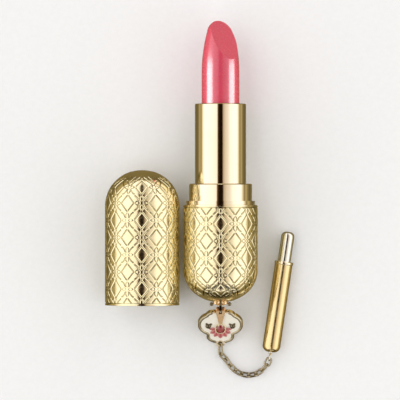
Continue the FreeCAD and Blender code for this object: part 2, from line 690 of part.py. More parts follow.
# ---------------------------------------------------------------------------------------------
# Chain: oval wire links, each drawn flat along X and turned into its place on the route
# ---------------------------------------------------------------------------------------------
def build_link(label, length, width, wire, place):
    body = new_body(label)
    end = f"({width} - {wire}) / 2"
    straight = f"({length} - {width}) / 2"
    spine = new_sketch(body, "Spine")
    draw(spine, [(f"-1 * {straight}", f"-1 * {end}"), (straight, f"-1 * {end}", f"{end} + 0.0001"),
                 (straight, end), (f"-1 * {straight}", end, f"{end} + 0.0001")])
    section = new_sketch(body, "Section", "YZ_Plane")
    draw_circle(section, f"-1 * {end}", "0", f"{wire} / 2")
    doc.recompute()
    pipe = body.newObject("PartDesign::AdditivePipe", "Wire")
    pipe.Profile = section
    pipe.Spine = (spine, ["Edge1", "Edge2", "Edge3", "Edge4"])
    doc.recompute()
    return keep(body, place)


def along(start, end, roll):
    """The placement that lays a link's X axis from start to end, rolled about it."""
    run = (end - start).normalize()
    level = Vector(0, 0, 1).cross(run).normalize()
    frame = Rotation(run, level, run.cross(level), "XYZ")
    return Placement((start + end) * 0.5, frame.multiply(Rotation(Vector(1, 0, 0), roll)))


def chain_joints():
    """The points where the links meet, from the charm's eye to the eye of the lip brush."""
    eye = pendant_place().multVec(Vector(0, -size("eye_drop"), 0))
    floor = -size("barrel_radius")
    half_width = (size("link_width") - size("wire")) / 2
    low = floor + half_width * math.sin(math.radians(LINK_ROLL)) + size("wire") / 2 + 0.06
    joints = [eye + Vector(0, -0.4, -0.15)]
    joints.append(Vector(0.15, joints[0].y - size("long_length - 2 * long_wire - 0.3"), low + 0.2))
    climb = size("brush_band_radius - eye_sag") + floor - low
    for i, heading in enumerate(LINK_HEADINGS):
        turn = math.radians(heading)
        rise = climb * LINK_CLIMBS.get(len(LINK_HEADINGS) - i, 0)
        step = Vector(math.cos(turn), math.sin(turn), 0) * math.sqrt(size("link_pitch") ** 2 - rise ** 2)
        step.z = rise
        following = joints[-1] + step
        if i == 0:
            following.z = low
        joints.append(following)
    return joints


def build_chain():
    joints = chain_joints()
    build_link("long_link", "long_length", "long_width", "long_wire", along(joints[0], joints[1], 60))
    length = "(link_pitch + 2 * wire + link_play)"
    for i in range(len(LINK_HEADINGS)):
        roll = END_ROLLS.get(len(LINK_HEADINGS) - i, -LINK_ROLL if i % 2 == 0 else LINK_ROLL)
        build_link(f"chain_link_{i + 1:02d}", length, "link_width", "wire",
                   along(joints[i + 1], joints[i + 2], roll))
    return joints


# ---------------------------------------------------------------------------------------------
# Lip brush: barrel with its band, eye, ferrule, bristles and pull-off cap, drawn along Y
# ---------------------------------------------------------------------------------------------
def build_brush(joints):
    floor = -size("barrel_radius")
    turn = math.radians(size("brush_heading"))
    run = Vector(math.cos(turn), math.sin(turn), 0)
    foot = Vector(joints[-1].x, joints[-1].y, floor + size("brush_band_radius")) + run * size("eye_reach")
    place = Placement(foot, Rotation(Vector(0, 0, 1), size("brush_heading") - 90))

    body = new_body("brush_barrel")
    revolve(body, "Barrel", [
        ("0", "0.15"), ("1.0", "0.15", "2.0"), ("brush_radius", "1.9"), ("brush_radius", "brush_length"),
        ("1.3", "brush_length"), ("1.3", "brush_length - 6"), ("0", "brush_length - 6")])
    keep(body, place)

    body = new_body("brush_band")
    revolve(body, "Band", [
        ("1.3", "brush_length"), ("brush_radius", "brush_length"),
        ("brush_band_radius", "brush_length + 0.2"), ("brush_band_radius", "brush_length + 0.8"),
        ("brush_radius", "brush_length + 1"), ("1.3", "brush_length + 1")])
    keep(body, place)

    body = new_body("brush_ferrule")
    revolve(body, "Ferrule", [
        ("0", "brush_length - 6"), ("1.3", "brush_length - 6"), ("1.3", "brush_length + 1.4"),
        ("1.1", "brush_length + 3.4"), ("0.9", "brush_length + 3.4"), ("0.9", "brush_length + 1.4"),
        ("0", "brush_length + 1.4")])
    keep(body, place)

    body = new_body("brush_bristles")
    revolve(body, "Tuft", [
        ("0", "brush_length + 1.4"), ("0.9", "brush_length + 1.4"), ("0.9", "brush_length + 3.4"),
        ("1.15", "brush_length + 5.4"), ("0.9", "brush_length + 7.4"), ("0", "brush_length + 8.9")])
    keep(body, place)

    body = new_body("brush_cap")
    mouth = "brush_length + 1.05"
    top = f"{mouth} + brush_cap_length"
    revolve(body, "Cap", [
        ("1.35", mouth), ("brush_cap_radius", mouth),
        ("brush_cap_radius", f"{top} - brush_cap_nose", "brush_cap_nose"),
        ("brush_cap_radius - brush_cap_nose", top), ("0", top),
        ("0", f"{top} - 0.5"), ("1.35", f"{top} - 1.2")])
    keep(body, place)

    body = new_body("brush_eye")
    revolve(body, "Stalk", [("0", "-0.45"), ("0.5", "-0.45"), ("0.5", "0.15"), ("0", "0.15")])
    section = new_sketch(body, "RingSection")
    middle = -size("eye_middle")
    section.addGeometry(Part.LineSegment(Vector(-1, middle, 0), Vector(1, middle, 0)), True)
    draw_circle(section, "0", "-eye_middle - eye_ring", "eye_wire")
    ring = body.newObject("PartDesign::Revolution", "Ring")
    ring.Profile = section
    ring.ReferenceAxis = (section, ["Axis0"])
    ring.Angle = 360
    keep(body, place)


build_base()
build_sleeve()
build_carrier()
build_cap()
build_finial()
build_pendant()
build_brush(build_chain())
doc.recompute()

for item in doc.Objects:
    if "Invalid" in item.State or "Error" in item.State:
        raise RuntimeError(f"{item.Label} failed: {item.State}")
for piece in pieces:
    if piece.Shape.isNull() or not piece.Shape.isValid():
        raise RuntimeError(f"{piece.Label} has no valid shape")
os.makedirs("parts", exist_ok=True)
for piece in pieces:
    piece.Shape.exportStep(os.path.join("parts", piece.Label + ".step"))
    print(piece.Label, len(piece.Shape.Solids), round(piece.Shape.Volume, 2))
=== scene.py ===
"""Looks for the twist-up lipstick case: relief shells, wax, enamel, stone, chain and lip brush.

Everything is in metres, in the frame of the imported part: +Y along the lipstick's axis towards the
bullet, +X to the right, +Z up from the surface that the case lies on.
"""

import json
import math

import bmesh
import bpy
import numpy as np
from mathutils import Matrix, Vector
from mathutils.bvhtree import BVHTree


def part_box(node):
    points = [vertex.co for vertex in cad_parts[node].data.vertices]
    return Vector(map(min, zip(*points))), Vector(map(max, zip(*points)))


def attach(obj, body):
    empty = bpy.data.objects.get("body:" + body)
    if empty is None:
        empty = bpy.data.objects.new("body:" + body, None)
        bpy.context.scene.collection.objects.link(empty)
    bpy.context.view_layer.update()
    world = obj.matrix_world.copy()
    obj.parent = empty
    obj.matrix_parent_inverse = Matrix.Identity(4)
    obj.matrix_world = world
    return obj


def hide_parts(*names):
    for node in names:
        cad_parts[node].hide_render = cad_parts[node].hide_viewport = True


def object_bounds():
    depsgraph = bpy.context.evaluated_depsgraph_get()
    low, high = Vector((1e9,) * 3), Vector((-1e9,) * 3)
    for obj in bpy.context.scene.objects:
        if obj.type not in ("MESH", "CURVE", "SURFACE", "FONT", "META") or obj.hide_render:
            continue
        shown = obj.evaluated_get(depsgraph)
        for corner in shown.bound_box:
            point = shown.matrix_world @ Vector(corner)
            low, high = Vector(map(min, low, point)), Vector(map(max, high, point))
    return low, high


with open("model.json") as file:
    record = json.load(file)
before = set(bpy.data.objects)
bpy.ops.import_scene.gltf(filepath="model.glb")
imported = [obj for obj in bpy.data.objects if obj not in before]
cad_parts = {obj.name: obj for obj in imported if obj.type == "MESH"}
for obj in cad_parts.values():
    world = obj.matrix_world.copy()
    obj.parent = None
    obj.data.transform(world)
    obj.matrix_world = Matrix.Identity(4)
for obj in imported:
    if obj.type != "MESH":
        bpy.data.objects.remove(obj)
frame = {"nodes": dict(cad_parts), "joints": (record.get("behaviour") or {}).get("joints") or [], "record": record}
cad_low, cad_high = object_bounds()
nodes = frame["nodes"]
scene = bpy.context.scene
MM = 0.001


# ---------------------------------------------------------------------------------------------
# Camera, light and floor
# ---------------------------------------------------------------------------------------------
CAMERA_HEIGHT = 1.2
CAMERA_LENS = 345.0
FLOOR_REACH = 3.0
FLOOR_GAP = 0.00002
VIEW_CENTRE = Vector((0.5 * (cad_low.x + cad_high.x), 0.5 * (cad_low.y + cad_high.y), 0.0))


def add_camera():
    camera = bpy.data.objects.new("camera", bpy.data.cameras.new("camera"))
    camera.data.lens = CAMERA_LENS
    camera.data.clip_start = 0.05
    camera.data.clip_end = 10.0
    camera.location = VIEW_CENTRE + Vector((0.0, 0.0, CAMERA_HEIGHT))
    scene.collection.objects.link(camera)
    scene.camera = camera


# Brightness of the studio round a piece that lies along Y: angle from straight up, brightness.
# Negative angles are on the left. A narrow dark gap lies overhead and a dim band below the horizon.
STUDIO = [
    (-180, 0.22), (-150, 0.20), (-134, 0.12), (-118, 0.26), (-108, 0.50), (-97, 0.30),
    (-90, 0.85), (-80, 1.35), (-65, 1.40), (-35, 1.28), (-15, 1.10), (-12, 0.10), (-5, 0.01), (8, 0.01),
    (12, 0.52), (22, 0.80), (34, 0.92), (44, 1.20), (65, 1.40), (80, 1.30), (90, 0.75),
    (97, 0.26), (108, 0.50), (118, 0.26), (134, 0.12), (150, 0.20), (180, 0.22)]
STUDIO_TOP = 2.0
# Colour of the same light: angle from straight up, colour
TINTS = [
    (-180, (1.0, 0.78, 0.34)), (-97, (1.0, 0.80, 0.38)), (-80, (1.0, 0.97, 0.93)), (-16, (1.0, 0.96, 0.90)),
    (-10, (1.0, 0.50, 0.18)), (7, (1.0, 0.50, 0.18)), (12, (1.0, 0.82, 0.62)), (30, (1.0, 0.92, 0.83)),
    (46, (1.0, 0.97, 0.93)), (80, (1.0, 0.97, 0.93)), (97, (1.0, 0.80, 0.38)), (180, (1.0, 0.78, 0.34))]
# Strip lights that only the wax sees: name, side in degrees, middle along the bullet, and watts
STRIPS = [("strip_left", -70, 0.034, 0.80), ("strip_right", 74, 0.026, 0.70)]
STRIP_REACH = 0.30
STRIP_SIZE = (0.21, 0.12)
STRIP_COLOR = (1.0, 0.97, 0.96)
# A wide light from above for the floor and the enamel alone
FILL_POWER = 5.0
FILL_SIZE = 1.4
FILL_COLOR = (0.90, 0.95, 1.0)
# The studio's dim ring towards -Y: place from -Y (0) to +Y (1), share of the brightness
DIM_SOUTH = [(0.0, 0.9), (0.012, 0.9), (0.03, 0.10), (0.07, 0.10), (0.11, 1.0), (1.0, 1.0)]


def color_steps(tree, value, steps):
    """A colour ramp over the value: steps are (place from 0 to 1, colour)."""
    node = tree.nodes.new("ShaderNodeValToRGB")
    tree.links.new(value, node.inputs["Fac"])
    stops = node.color_ramp.elements
    while len(stops) < len(steps):
        stops.new(0.5)
    for stop, (place, color) in zip(stops, steps):
        stop.position = place
        stop.color = (*color, 1.0)
    return node.outputs["Color"]


def multiplied(tree, first, second):
    node = tree.nodes.new("ShaderNodeMath")
    node.operation = "MULTIPLY"
    for socket, value in zip(node.inputs, (first, second)):
        if isinstance(value, float):
            socket.default_value = value
        else:
            tree.links.new(value, socket)
    return node.outputs[0]


def add_studio():
    world = bpy.data.worlds.new("studio")
    scene.world = world
    world.use_nodes = True
    tree = world.node_tree
    tree.nodes.clear()
    make = tree.nodes.new
    link = tree.links.new
    place = make("ShaderNodeTexCoord")
    parts = make("ShaderNodeSeparateXYZ")
    link(place.outputs["Generated"], parts.inputs[0])
    turn = make("ShaderNodeMath")
    turn.operation = "ARCTAN2"
    link(parts.outputs["X"], turn.inputs[0])
    link(parts.outputs["Z"], turn.inputs[1])
    share = spread(tree, turn.outputs[0], -math.pi, math.pi)
    curve = make("ShaderNodeFloatCurve")
    link(share, curve.inputs["Value"])
    points = curve.mapping.curves[0].points
    places = [((angle + 180) / 360, level / STUDIO_TOP) for angle, level in STUDIO]
    points[0].location = places[0]
    points[1].location = places[-1]
    for spot in places[1:-1]:
        points.new(*spot)
    for point in points:
        point.handle_type = "VECTOR"
    curve.mapping.update()
    south = spread(tree, parts.outputs["Y"], -1.0, 1.0)
    dim = color_steps(tree, south, [(place, (lit, lit, lit)) for place, lit in DIM_SOUTH])
    tint = color_steps(tree, share, [((angle + 180) / 360, color) for angle, color in TINTS])
    back = make("ShaderNodeBackground")
    link(multiplied(tree, multiplied(tree, curve.outputs[0], STUDIO_TOP), dim), back.inputs["Strength"])
    link(tint, back.inputs["Color"])
    out = make("ShaderNodeOutputWorld")
    link(back.outputs[0], out.inputs[0])


def add_strips():
    """Two tall strip lights, one on each side, linked to the bullet alone."""
    group = bpy.data.collections.new("wax_only")
    group.objects.link(nodes["bullet"])
    for name, side, along, power in STRIPS:
        light = bpy.data.lights.new(name, "AREA")
        light.shape = "RECTANGLE"
        light.size, light.size_y = STRIP_SIZE
        light.energy = power
        light.color = STRIP_COLOR
        lamp = bpy.data.objects.new(name, light)
        turn = math.radians(side)
        lamp.location = (STRIP_REACH * math.sin(turn), along, STRIP_REACH * math.cos(turn))
        lamp.rotation_euler = (0.0, turn, 0.0)
        scene.collection.objects.link(lamp)
        lamp.light_linking.receiver_collection = group


def add_fill(floor):
    group = bpy.data.collections.new("floor_and_enamel")
    for piece in (floor, nodes["charm_enamel"]):
        group.objects.link(piece)
    light = bpy.data.lights.new("fill", "AREA")
    light.size = FILL_SIZE
    light.energy = FILL_POWER
    light.color = FILL_COLOR
    lamp = bpy.data.objects.new("fill", light)
    lamp.location = VIEW_CENTRE + Vector((0.0, 0.0, CAMERA_HEIGHT + 0.3))
    scene.collection.objects.link(lamp)
    lamp.light_linking.receiver_collection = group


def add_floor():
    mesh = bpy.data.meshes.new("floor")
    low = cad_low.z - FLOOR_GAP
    corners = [(x * FLOOR_REACH, y * FLOOR_REACH, low) for x, y in ((-1, -1), (1, -1), (1, 1), (-1, 1))]
    mesh.from_pydata(corners, [], [(0, 1, 2, 3)])
    floor = bpy.data.objects.new("floor", mesh)
    scene.collection.objects.link(floor)
    floor.visible_glossy = False
    material, tree, shader = new_material("floor_paper")
    shader.inputs["Roughness"].default_value = 0.9
    grain = noise(tree, 900.0, 4.0)
    blend_colors(tree, grain, shader, (0.90, 0.925, 0.96), (0.92, 0.945, 0.98))
    add_bump(tree, shader, grain, 0.05, 0.0002)
    mesh.materials.append(material)
    return floor


# ---------------------------------------------------------------------------------------------
# Material helpers
# ---------------------------------------------------------------------------------------------
def new_material(name):
    material = bpy.data.materials.new(name)
    material.use_nodes = True
    tree = material.node_tree
    shader = tree.nodes["Principled BSDF"]
    return material, tree, shader


def noise(tree, scale, detail=3.0):
    """Noise in the object's own coordinates: scale is waves per metre."""
    place = tree.nodes.new("ShaderNodeTexCoord")
    texture = tree.nodes.new("ShaderNodeTexNoise")
    texture.inputs["Scale"].default_value = scale
    texture.inputs["Detail"].default_value = detail
    tree.links.new(place.outputs["Object"], texture.inputs["Vector"])
    return texture.outputs["Fac"]


def spread(tree, value, low, high, out_low=0.0, out_high=1.0):
    node = tree.nodes.new("ShaderNodeMapRange")
    tree.links.new(value, node.inputs["Value"])
    node.inputs["From Min"].default_value = low
    node.inputs["From Max"].default_value = high
    node.inputs["To Min"].default_value = out_low
    node.inputs["To Max"].default_value = out_high
    return node.outputs[0]


def mix_colors(tree, share, first, second):
    node = tree.nodes.new("ShaderNodeMix")
    node.data_type = "RGBA"
    tree.links.new(share, node.inputs["Factor"])
    for socket, color in ((node.inputs[6], first), (node.inputs[7], second)):
        if isinstance(color, tuple):
            socket.default_value = (*color, 1.0)
        else:
            tree.links.new(color, socket)
    return node.outputs[2]


def blend_colors(tree, share, shader, first, second):
    mixed = mix_colors(tree, spread(tree, share, 0.35, 0.65), first, second)
    tree.links.new(mixed, shader.inputs["Base Color"])


def vary_roughness(tree, shader, grain, low, high):
    tree.links.new(spread(tree, grain, 0.3, 0.7, low, high), shader.inputs["Roughness"])


def mesh_value(tree, name):
    """A value that the mesh carries at its points."""
    node = tree.nodes.new("ShaderNodeAttribute")
    node.attribute_name = name
    return node.outputs["Fac"]


def add_bump(tree, shader, height, strength, distance):
    bump = tree.nodes.new("ShaderNodeBump")
    bump.inputs["Strength"].default_value = strength
    bump.inputs["Distance"].default_value = distance
    tree.links.new(height, bump.inputs["Height"])
    tree.links.new(bump.outputs[0], shader.inputs["Normal"])


def metal(name, first, second, rough):
    material, tree, shader = new_material(name)
    shader.inputs["Metallic"].default_value = 1.0
    grain = noise(tree, 700.0, 5.0)
    cloudy = noise(tree, 90.0, 2.0)
    blend_colors(tree, cloudy, shader, first, second)
    vary_roughness(tree, shader, grain, *rough)
    add_bump(tree, shader, grain, 0.04, 0.00002)
    return material


def plastic(name, first, second, rough=(0.35, 0.5), scale=600.0, coat=0.0, bump=0.08):
    material, tree, shader = new_material(name)
    grain = noise(tree, scale, 4.0)
    blend_colors(tree, grain, shader, first, second)
    vary_roughness(tree, shader, grain, *rough)
    shader.inputs["Coat Weight"].default_value = coat
    shader.inputs["Coat Roughness"].default_value = 0.05
    add_bump(tree, shader, grain, bump, 0.00003)
    return material


def relief_metal(name):
    """Gold with the tarnish and painted shade that gather in the grooves, from the mesh's own relief value."""
    material, tree, shader = new_material(name)
    shader.inputs["Metallic"].default_value = 1.0
    cloudy = spread(tree, noise(tree, 160.0, 2.0), 0.35, 0.65)
    # Painted shade: the grooves take a darker, olive gold than the raised tops, by the relief value
    top = mix_colors(tree, cloudy, (0.95, 0.86, 0.60), (0.92, 0.82, 0.52))
    groove = mix_colors(tree, cloudy, (0.54, 0.48, 0.26), (0.60, 0.53, 0.30))
    height = spread(tree, mesh_value(tree, "relief"), 0.15, 0.62)
    tree.links.new(mix_colors(tree, height, groove, top), shader.inputs["Base Color"])
    grain = noise(tree, 1500.0, 4.0)
    vary_roughness(tree, shader, grain, 0.10, 0.19)
    add_bump(tree, shader, grain, 0.06, 0.00003)
    return material


# ---------------------------------------------------------------------------------------------
# Mesh helpers
# ---------------------------------------------------------------------------------------------
def add_piece(name, mesh, body, slot, *replaced):
    mesh.materials.append(MATERIALS[slot])
    piece = bpy.data.objects.new(name, mesh)
    scene.collection.objects.link(piece)
    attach(piece, body)
    if replaced:
        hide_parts(*replaced)


def add_mesh(name, points, faces, body, slot, *replaced, values=None):
    """A smooth closed piece; values names one number per point for its material."""
    mesh = bpy.data.meshes.new(name)
    mesh.from_pydata([tuple(p) for p in points], [], [tuple(int(i) for i in f) for f in faces])
    mesh.update()
    mesh.polygons.foreach_set("use_smooth", np.ones(len(mesh.polygons), bool))
    if values:
        label, numbers = values
        layer = mesh.attributes.new(label, "FLOAT", "POINT")
        layer.data.foreach_set("value", np.array(numbers, np.float32))
    add_piece(name, mesh, body, slot, *replaced)
    return mesh


def add_rounded(name, points, faces, body, slot, *replaced, values=None):
    """The same, with its faces turned outwards."""
    mesh = add_mesh(name, points, faces, body, slot, *replaced, values=values)
    work = bmesh.new()
    work.from_mesh(mesh)
    bmesh.ops.recalc_face_normals(work, faces=work.faces)
    work.to_mesh(mesh)
    work.free()


def ring_faces(rows, columns, first=0):
    """Quads between closed rings of points that follow one another."""
    faces = []
    for i in range(rows - 1):
        for j in range(columns):
            k = (j + 1) % columns
            faces.append((first + i * columns + j, first + i * columns + k,
                          first + (i + 1) * columns + k, first + (i + 1) * columns + j))
    return faces


def capped_rings(rows, columns, first):
    """The same with a flat cap on each end."""
    last = first + (rows - 1) * columns
    start = tuple(first + k for k in range(columns - 1, -1, -1))
    end = tuple(last + k for k in range(columns))
    return ring_faces(rows, columns, first) + [start, end]


# ---------------------------------------------------------------------------------------------
# Relief shells: a lattice of flowers and diamonds pressed into the base shell and the cap
# ---------------------------------------------------------------------------------------------
SITES = 16
BARREL_RADIUS = 11.65
CELL_HEIGHT = 5.35
CELL_WIDTH = 2 * math.pi * BARREL_RADIUS / SITES
RELIEF_DEPTH = 0.20
COLUMNS = SITES * 36
ROW_STEP = 0.13
# A diagonal groove from beside the flower's middle out to the cell's corner, in mm
HOOK = ((0.62, 0.72), (0.92, 1.35), (1.42, 1.92), (2.05, 2.35))
SHELL_WALL = 0.45
# Radii in mm where the dome's leaves begin and end, and where they fade in and turn into a plain disc
LEAVES = (7.4, 3.2)
LEAF_FADE = (8.8, 6.0)
DISC_FADE = (3.5, 3.0)
DISC_HEIGHT = 0.7


def soft_step(value, low, high):
    share = np.clip((value - low) / (high - low), 0, 1)
    return share * share * (3 - 2 * share)


def line_depth(x, y, points, half_start, half_end, soft=0.13):
    """1 on the middle of a line that goes through the points, 0 beyond its edge."""
    depth = np.zeros_like(x)
    lengths = [math.dist(a, b) for a, b in zip(points, points[1:])]
    run = 0.0
    for (ax, ay), (bx, by), length in zip(points, points[1:], lengths):
        share = np.clip(((x - ax) * (bx - ax) + (y - ay) * (by - ay)) / length ** 2, 0, 1)
        away = np.hypot(x - ax - share * (bx - ax), y - ay - share * (by - ay))
        half = half_start + (half_end - half_start) * (run + share * length) / sum(lengths)
        depth = np.maximum(depth, 1 - soft_step(away - half, 0, soft))
        run += length
    return depth


def flower_lines(x, y):
    """Grooves of one flower: eight petals parted by hooked diagonals and slender axial leaves."""
    x, y = np.abs(x), np.abs(y)
    lines = line_depth(x, y, HOOK, 0.05, 0.17)
    for across, along, reach, wide in ((x, y, 2.45, 0.62), (y, x, 2.05, 0.48)):
        share = np.clip((along - 0.45) / (reach - 0.45), 0, 1)
        edge = wide * np.sin(np.pi * share ** 0.8)
        away = np.abs(across - edge)
        inside = (along > 0.45) & (along < reach)
        lines = np.maximum(lines, np.where(inside, 0.85 * (1 - soft_step(away, 0.06, 0.17)), 0))
    return lines


def lattice(columns, rows):
    """Relief from 0 to 1 at places given in cells: whole numbers are the cells' middles."""
    i, j = np.round(columns), np.round(rows)
    x, y = (columns - i) * CELL_WIDTH, (rows - j) * CELL_HEIGHT
    even = ((i + j) % 2) == 0
    half_x, half_y = CELL_WIDTH / 2, CELL_HEIGHT / 2
    edge = (1 - np.abs(x) / half_x - np.abs(y) / half_y) * half_x * half_y / math.hypot(half_x, half_y)
    outline = 1 - soft_step(np.abs(edge), 0.10, 0.24)
    lines = np.where(even, flower_lines(x, y), outline)
    # The hooks reach past their cell's corners, into the corners of the diamond cells
    for di, dj in ((1, 0), (-1, 0), (0, 1), (0, -1)):
        near = flower_lines(x - di * CELL_WIDTH, y - dj * CELL_HEIGHT)
        lines = np.maximum(lines, np.where(even, 0, near * (edge < 0)))
    pillow = np.where(even, 0.0, 0.10 * soft_step(edge, 0.2, 1.2))
    return np.clip(0.88 + pillow - 0.88 * lines, 0, 1)


def dome_profile(radius, depth, end_radius, straight, step):
    """(radius, distance along the axis, arc length) down a barrel and its dome."""
    shoulder = (end_radius ** 2 - radius ** 2 - (end_radius - depth) ** 2) / (2 * (end_radius - radius))
    turn = math.atan2(radius - shoulder, end_radius - depth)
    pole_turn = math.asin((radius - shoulder) / (end_radius - shoulder))
    rows = [(radius, t) for t in np.linspace(0, straight, max(2, int(straight / step)))]
    shoulder_turn = math.pi / 2 - pole_turn
    for t in np.linspace(0, shoulder_turn, max(3, int(shoulder * shoulder_turn / step)))[1:]:
        rows.append((radius - shoulder + shoulder * math.cos(t), straight + shoulder * math.sin(t)))
    middle = straight + depth - end_radius
    for t in np.linspace(pole_turn, 0, max(3, int(end_radius * pole_turn / step)))[1:]:
        rows.append((end_radius * math.sin(t), middle + end_radius * math.cos(t)))
    rows = np.array(rows)
    steps = np.hypot(*(rows[1:] - rows[:-1]).T)
    return np.column_stack([rows, np.concatenate([[0], np.cumsum(steps)])])


def relief_shell(name, node, body, axis_x, mouth_y, direction, straight, depth, end_radius, first_row,
                 band, hole):
    """A closed shell in the place of a plain one, with the relief pressed inwards.

    direction is +1 where the dome points to +Y, first_row is the arc length from the mouth to the
    middle of a diamond, and band is the plain strip at the mouth.
    """
    walk = dome_profile(BARREL_RADIUS, depth, end_radius, straight, ROW_STEP)
    walk = walk[walk[:, 0] > hole]
    turns = np.arange(COLUMNS) * 2 * math.pi / COLUMNS
    sites = turns / (2 * math.pi) * SITES
    grid_s, grid_c = np.meshgrid(walk[:, 2], sites, indexing="ij")
    rho = walk[:, 0][:, None] * np.ones_like(grid_c)
    height = lattice(grid_c + 1, (grid_s - first_row) / CELL_HEIGHT)
    # Towards the pole the lattice gives way to pointed leaves, then to a plain disc
    across = np.abs(grid_c - np.round(grid_c)) * 2
    reach = np.clip((LEAVES[0] - rho) / (LEAVES[0] - LEAVES[1]), 0, 1)
    leaf_width = np.sin(np.pi * (0.15 + 0.85 * reach)) * 0.85 + 1e-3
    leaf = np.sqrt(np.clip(1 - (across / leaf_width) ** 2, 0, 1))
    near_pole = soft_step(-rho, -LEAF_FADE[0], -LEAF_FADE[1])
    height = height * (1 - near_pole) + (0.80 + 0.14 * leaf) * near_pole
    plain = soft_step(-rho, -DISC_FADE[0], -DISC_FADE[1])
    height = height * (1 - plain) + DISC_HEIGHT * plain
    edge = soft_step(grid_s, band, band + 0.15)
    groove = 1 - soft_step(np.abs(grid_s - band - 0.12), 0.08, 0.22)
    height = np.clip((height * edge + (1 - edge)) * (1 - groove), 0, 1)
    # Surface normals in the profile's plane, to press the relief inwards
    slope = np.gradient(walk[:, :2], axis=0)
    normal = np.column_stack([slope[:, 1], -slope[:, 0]]) / np.hypot(slope[:, 0], slope[:, 1])[:, None]
    sink = (1 - height) * RELIEF_DEPTH
    radius = walk[:, 0][:, None] - normal[:, 0][:, None] * sink
    along = walk[:, 1][:, None] - normal[:, 1][:, None] * sink
    outer = np.stack([radius * np.sin(turns), along, radius * np.cos(turns)], axis=-1).reshape(-1, 3)
    inside = walk[::-4] if (len(walk) - 1) % 4 == 0 else np.vstack([walk[::-4], walk[:1]])
    inner_rows = []
    for rho_i, y_i, _ in inside:
        n = normal[np.argmin(np.abs(walk[:, 1] - y_i) + np.abs(walk[:, 0] - rho_i))]
        inner_rows.append((rho_i - n[0] * SHELL_WALL, y_i - n[1] * SHELL_WALL))
    inner_rows = np.array(inner_rows)
    inner_rows[-1, 1] = 0.0
    wall = np.stack([inner_rows[:, 0][:, None] * np.sin(turns),
                     inner_rows[:, 1][:, None] * np.ones_like(turns),
                     inner_rows[:, 0][:, None] * np.cos(turns)], axis=-1).reshape(-1, 3)
    points = np.vstack([outer, wall])
    rows = len(walk) + len(inner_rows)
    faces = ring_faces(rows, COLUMNS)
    last = (rows - 1) * COLUMNS
    faces += [(last + j, last + (j + 1) % COLUMNS, (j + 1) % COLUMNS, j) for j in range(COLUMNS)]
    if direction > 0:
        faces = [f[::-1] for f in faces]
    points = points * np.array([1, direction, 1]) * MM + np.array([axis_x, mouth_y, 0])
    # The relief value also sets the gold's colour: painted shade where the surface sinks into the grooves
    relief = np.concatenate([height.ravel(), np.full(len(wall), DISC_HEIGHT)])
    add_mesh(name, points, faces, body, "relief_gold", node, values=("relief", relief))


# ---------------------------------------------------------------------------------------------
# Materials
# ---------------------------------------------------------------------------------------------
def make_materials():
    return {
        "relief_gold": relief_metal("relief_gold"),
        "polished_gold": metal("polished_gold", (0.97, 0.87, 0.69), (0.95, 0.85, 0.64), (0.05, 0.09)),
        "satin_gold": metal("satin_gold", (0.90, 0.74, 0.42), (0.86, 0.69, 0.36), (0.16, 0.26)),
        "chain_gold": metal("chain_gold", (0.66, 0.59, 0.42), (0.34, 0.29, 0.19), (0.12, 0.22)),
        "rose_gold": metal("rose_gold", (0.93, 0.70, 0.46), (0.90, 0.62, 0.36), (0.14, 0.24)),
        "dark_bronze": metal("dark_bronze", (0.30, 0.26, 0.17), (0.14, 0.11, 0.07), (0.16, 0.28)),
        "pale_metal": metal("pale_metal", (0.90, 0.89, 0.84), (0.84, 0.83, 0.78), (0.12, 0.22)),
        "weight_steel": metal("weight_steel", (0.45, 0.45, 0.46), (0.36, 0.36, 0.37), (0.3, 0.45)),
        "moulded_plastic": plastic("moulded_plastic", (0.86, 0.80, 0.66), (0.82, 0.76, 0.62)),
        "slick_plastic": plastic("slick_plastic", (0.90, 0.88, 0.82), (0.86, 0.84, 0.78)),
        "soft_rubber": plastic("soft_rubber", (0.05, 0.05, 0.05), (0.03, 0.03, 0.03), (0.6, 0.8)),
        "lipstick_wax": wax("lipstick_wax"),
        "white_enamel": plastic("white_enamel", (0.93, 0.91, 0.82), (0.91, 0.88, 0.77), (0.15, 0.25),
                                300.0, 0.8, 0.05),
        "rose_enamel": petal_enamel("rose_enamel"),
        "nylon": plastic("nylon", (0.22, 0.12, 0.07), (0.14, 0.08, 0.05), (0.4, 0.6)),
        "red_stone": stone("red_stone"),
    }


def wax(name):
    material, tree, shader = new_material(name)
    grain = noise(tree, 1100.0, 5.0)
    blend_colors(tree, grain, shader, (0.52, 0.053, 0.10), (0.48, 0.046, 0.085))
    vary_roughness(tree, shader, grain, 0.20, 0.32)
    shader.inputs["Subsurface Weight"].default_value = 0.12
    shader.inputs["Subsurface Radius"].default_value = (0.0016, 0.0006, 0.0005)
    shader.inputs["Subsurface Scale"].default_value = 1.0
    shader.inputs["IOR"].default_value = 1.5
    shader.inputs["Coat Weight"].default_value = 1.0
    shader.inputs["Coat Roughness"].default_value = 0.20
    shader.inputs["Coat IOR"].default_value = 1.5
    add_bump(tree, shader, grain, 0.05, 0.00003)
    return material


def petal_enamel(name):
    """Rose enamel, paler towards each petal's edge."""
    material, tree, shader = new_material(name)
    grain = noise(tree, 700.0)
    deep = mix_colors(tree, spread(tree, grain, 0.35, 0.65), (0.50, 0.05, 0.06), (0.42, 0.04, 0.05))
    pale = spread(tree, mesh_value(tree, "shade"), 0.25, 1.0)
    tree.links.new(mix_colors(tree, pale, deep, (0.80, 0.34, 0.33)), shader.inputs["Base Color"])
    vary_roughness(tree, shader, grain, 0.18, 0.28)
    shader.inputs["Coat Weight"].default_value = 0.6
    shader.inputs["Coat Roughness"].default_value = 0.05
    add_bump(tree, shader, grain, 0.05, 0.00003)
    return material


def stone(name):
    material, tree, shader = new_material(name)
    grain = noise(tree, 900.0)
    blend_colors(tree, grain, shader, (0.52, 0.02, 0.03), (0.40, 0.01, 0.02))
    shader.inputs["Roughness"].default_value = 0.04
    shader.inputs["Transmission Weight"].default_value = 0.35
    shader.inputs["IOR"].default_value = 1.76
    shader.inputs["Coat Weight"].default_value = 1.0
    return material


